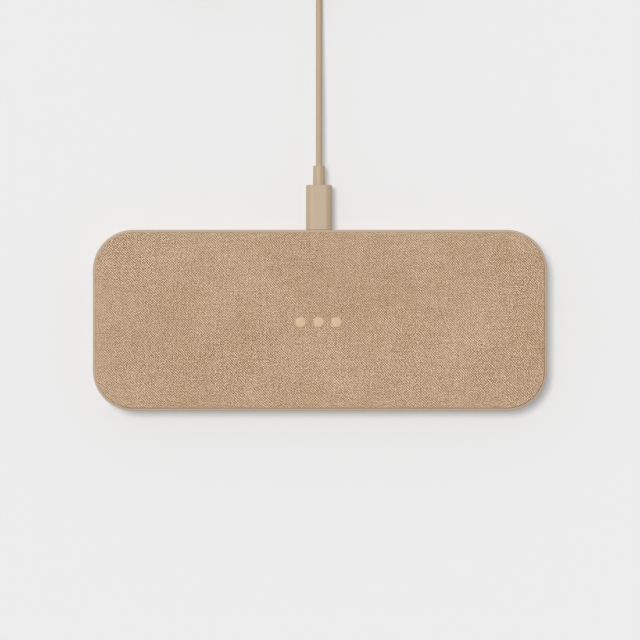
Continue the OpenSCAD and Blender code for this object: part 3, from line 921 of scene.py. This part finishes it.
def strap_loop(middle, across, grow):
    """The strap's loop, grow outside the wound turns, at a distance across from its middle line.

    The turns spiral, so their edges lie up to half a pitch inside the coil's, and the loop follows them.
    """
    part_turn = (math.pi - middle) / math.tau % 1
    drawn_in = WIND_PITCH * min(part_turn, 1 - part_turn)
    inner, outer = WIND_IN_R - CORD_R + drawn_in, WIND_OUT_R + CORD_R - drawn_in
    mid_r, mid_z = (inner + outer) / 2, (coil_low.z + coil_high.z) / 2
    loop = outline(
        outer - inner, coil_high.z - coil_low.z, CORD_R, -grow, arc_steps=8, long_steps=6, short_steps=6
    )
    points = []
    for out, z in loop:
        radius = mid_r + out
        angle = middle + math.asin(across / radius)
        x, y = WIND_AT.x + radius * math.cos(angle), WIND_AT.y + radius * math.sin(angle)
        points.append((x, y, mid_z + z))
    return points


def make_ties():
    """Two silicone straps round the wound coil, soft at their edges."""
    half = TIE_W / 2
    sides = [(from_edge - half, pinch) for from_edge, pinch in TIE_EDGE]
    sides += [(half - from_edge, pinch) for from_edge, pinch in reversed(TIE_EDGE)]
    straps = []
    for middle in TIE_ANGLES:
        skin = [strap_loop(middle, across, TIE_T - pinch) for across, pinch in sides]
        skin += [strap_loop(middle, across, pinch) for across, pinch in reversed(sides)]
        straps.append(loft_ring(skin))
    return solid("cord_straps", *together(straps))


# ---- Stage ----

SUN_TILT = (-0.247, 0.205)
SUN_ANGLE = math.radians(22)
SUN_SHARE = 0.65
AMBIENT = 0.35
AMBIENT_LEAN = (-0.06, 0.2, -0.8)
BACKDROP = 0.84
FLOOR_SHADE = 0.455
FLOOR_SIZE = 8000


def make_light():
    """One soft lamp from the rear left, and a weak light from all round.

    The weak light is stronger from the rear left, and stronger near the horizon than overhead.
    """
    data = bpy.data.lights.new("key", "SUN")
    towards = Vector((*SUN_TILT, 1)).normalized()
    data.energy = SUN_SHARE * math.pi / towards.z
    data.angle = SUN_ANGLE
    key = link(bpy.data.objects.new("key", data))
    key.rotation_euler = towards.to_track_quat("Z", "Y").to_euler()

    world = bpy.data.worlds.new("studio")
    bpy.context.scene.world = world
    world.use_nodes = True
    nodes, links = world.node_tree.nodes, world.node_tree.links
    seen = nodes["Background"]
    seen.inputs["Color"].default_value = (BACKDROP, BACKDROP, BACKDROP, 1)
    fill = nodes.new("ShaderNodeBackground")
    fill.inputs["Color"].default_value = (1, 1, 1, 1)
    # A level surface gets AMBIENT in all, however the light leans
    level = AMBIENT / (1 + AMBIENT_LEAN[2] * 2 / 3)
    direction = nodes.new("ShaderNodeTexCoord").outputs["Generated"]
    lean = nodes.new("ShaderNodeVectorMath")
    lean.operation = "DOT_PRODUCT"
    lean.inputs[1].default_value = [level * share for share in AMBIENT_LEAN]
    strength = nodes.new("ShaderNodeMath")
    strength.inputs[1].default_value = level
    links.new(direction, lean.inputs[0])
    links.new(lean.outputs["Value"], strength.inputs[0])
    links.new(strength.outputs[0], fill.inputs["Strength"])
    path = nodes.new("ShaderNodeLightPath")
    blend = nodes.new("ShaderNodeMixShader")
    links.new(path.outputs["Is Camera Ray"], blend.inputs[0])
    links.new(fill.outputs[0], blend.inputs[1])
    links.new(seen.outputs[0], blend.inputs[2])
    links.new(blend.outputs[0], nodes["World Output"].inputs["Surface"])
    bpy.context.scene.view_settings.view_transform = "Standard"


def make_floor():
    """A pale floor with some glow of its own, so that the shadow on it is no darker than FLOOR_SHADE."""
    half = FLOOR_SIZE / 2 * MM
    mesh = bpy.data.meshes.new("floor")
    corners = [(-half, -half, 0), (half, -half, 0), (half, half, 0), (-half, half, 0)]
    mesh.from_pydata(corners, [], [(0, 1, 2, 3)])
    floor = link(bpy.data.objects.new("floor", mesh))
    material = bpy.data.materials.new("floor_paper")
    material.use_nodes = True
    nodes, links = material.node_tree.nodes, material.node_tree.links
    nodes.remove(nodes["Principled BSDF"])
    lit = (BACKDROP - FLOOR_SHADE) / SUN_SHARE
    glow = BACKDROP - lit * (SUN_SHARE + AMBIENT)
    paper = nodes.new("ShaderNodeBsdfDiffuse")
    paper.inputs["Color"].default_value = (lit, lit, lit, 1)
    shine = nodes.new("ShaderNodeEmission")
    shine.inputs["Color"].default_value = (glow, glow, glow, 1)
    both = nodes.new("ShaderNodeAddShader")
    links.new(paper.outputs[0], both.inputs[0])
    links.new(shine.outputs[0], both.inputs[1])
    links.new(both.outputs[0], nodes["Material Output"].inputs["Surface"])
    mesh.materials.append(material)


# ---- The whole ----


def dress_cad_nodes(finishes):
    """Gives each CAD node that stays its finish, by the name of the slot that it was packed with."""
    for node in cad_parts.values():
        for place in node.material_slots:
            place.material = finishes[place.material.name.split(".")[0]]


def make_object():
    """Every piece with its finish."""
    cord = make_cord()
    finishes = make_finishes()
    dress_cad_nodes(finishes)

    finished(make_housing(), finishes["housing"], "housing", "pad", "base_housing")
    finished(make_foot_mat(), finishes["foot_mat"], "foot_mat", "pad", "foot_mat")
    linen = finished(make_linen(), finishes["linen"], "linen", "pad", "linen_cover")
    foam = finished(make_foam(), finishes["foam"], "foam", "pad", "foam_pad")
    markers = finished(make_markers(), finishes["markers"], "markers", "pad", "marker_discs")

    plastic = finishes["plug_moulding"]
    grip = finished(make_plug_overmould(), plastic, "plug_moulding", "lead", "plug_overmould")
    relief = finished(make_plug_relief(), plastic, "plug_moulding", "lead", "plug_strain_relief")
    finished(cord, finishes["cord"], "cord", "lead", "cord_lead", "cord_coil", "cord_tail")
    ties = finished(make_ties(), finishes["cord_ties"], "cord_ties", "lead", "cord_ties")
    charger_grip = finished(
        make_charger_overmould(), plastic, "plug_moulding", "lead", "charger_plug_overmould"
    )
    charger_relief = finished(
        make_charger_relief(), plastic, "plug_moulding", "lead", "charger_plug_relief"
    )


make_camera()
make_object()
make_light()
make_floor()
